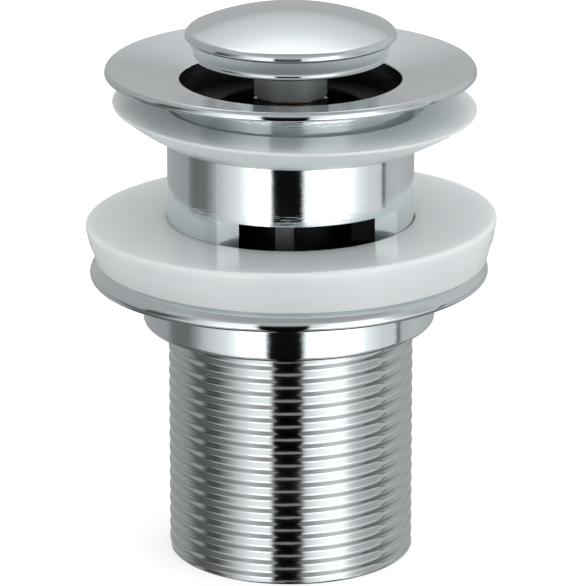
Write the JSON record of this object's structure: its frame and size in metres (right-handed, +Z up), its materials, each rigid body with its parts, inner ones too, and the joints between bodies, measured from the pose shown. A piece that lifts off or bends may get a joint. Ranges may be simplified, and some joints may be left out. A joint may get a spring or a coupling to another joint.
{
  "type": "pop up basin waste",
  "caption": "Slotted click-clack basin waste: chromed brass body with dished flange, domed push plug on a spring cartridge, milky seals and a round flanged backnut on a threaded tail",
  "frame": {"origin": "centre of the tail's open end, the lowest face", "axes": "+Z up the body's axis to the plug; the front overflow window faces -Y, turned 11 degrees towards +X"},
  "size_m": [0.0702, 0.0702, 0.0956],
  "materials": {
    "chrome_plate": "polished chrome plate on brass",
    "bare_brass": "turned brass, unplated",
    "stainless_steel": "drawn or turned stainless steel",
    "milky_polythene": "moulded translucent white polythene",
    "black_rubber": "moulded nitrile rubber",
    "white_acetal": "moulded white acetal",
    "red_fibre": "stamped vulcanised fibre"
  },
  "bodies": {
    "waste": {"waste_body": "chrome_plate", "cartridge_barrel": "bare_brass", "barrel_washer": "red_fibre", "barrel_lock_nut": "bare_brass", "barrel_end_plug": "bare_brass", "latch_pin": "stainless_steel", "plunger_wiper": "black_rubber", "return_spring": "stainless_steel"},
    "plug": {"plug_cap": "chrome_plate", "plug_carrier": "chrome_plate", "plug_seal": "black_rubber", "seal_retainer": "white_acetal", "plug_jam_nut": "bare_brass", "plunger": "bare_brass", "thrust_washer": "stainless_steel"},
    "rotor": {"latch_rotor": "white_acetal"},
    "top_gasket": {"upper_gasket": "milky_polythene"},
    "under_washer": {"tapered_washer": "milky_polythene"},
    "nut": {"backnut": "chrome_plate"}
  },
  "joints": [
    {"name": "plug_push", "type": "slide", "parent": "waste", "child": "plug", "axis": [0, 0, 1], "range_m": [-0.008, 0], "stiffness_N_per_m": 400, "springref_m": 0.004, "deforming": ["return_spring"]},
    {"name": "rotor_turn", "type": "hinge", "parent": "plug", "child": "rotor", "pos_m": [0, 0, 0.05], "axis": [0, 0, 1], "range_deg": [0, 45]},
    {"name": "gasket_slide", "type": "slide", "parent": "waste", "child": "top_gasket", "axis": [0, 0, 1], "range_m": [-0.014, 0.0022]},
    {"name": "washer_slide", "type": "slide", "parent": "waste", "child": "under_washer", "axis": [0, 0, 1], "range_m": [-0.037, 0]},
    {"name": "nut_turn", "type": "hinge", "parent": "under_washer", "child": "nut", "pos_m": [0, 0, 0.0468], "axis": [0, 0, 1], "range_deg": [-5760, 0]}
  ],
  "couplings": [
    {"joint": "rotor_turn", "follows": "plug_push", "rad_per_m": -98.175},
    {"joint": "washer_slide", "follows": "nut_turn", "m_per_rad": 0.00036749}
  ]
}
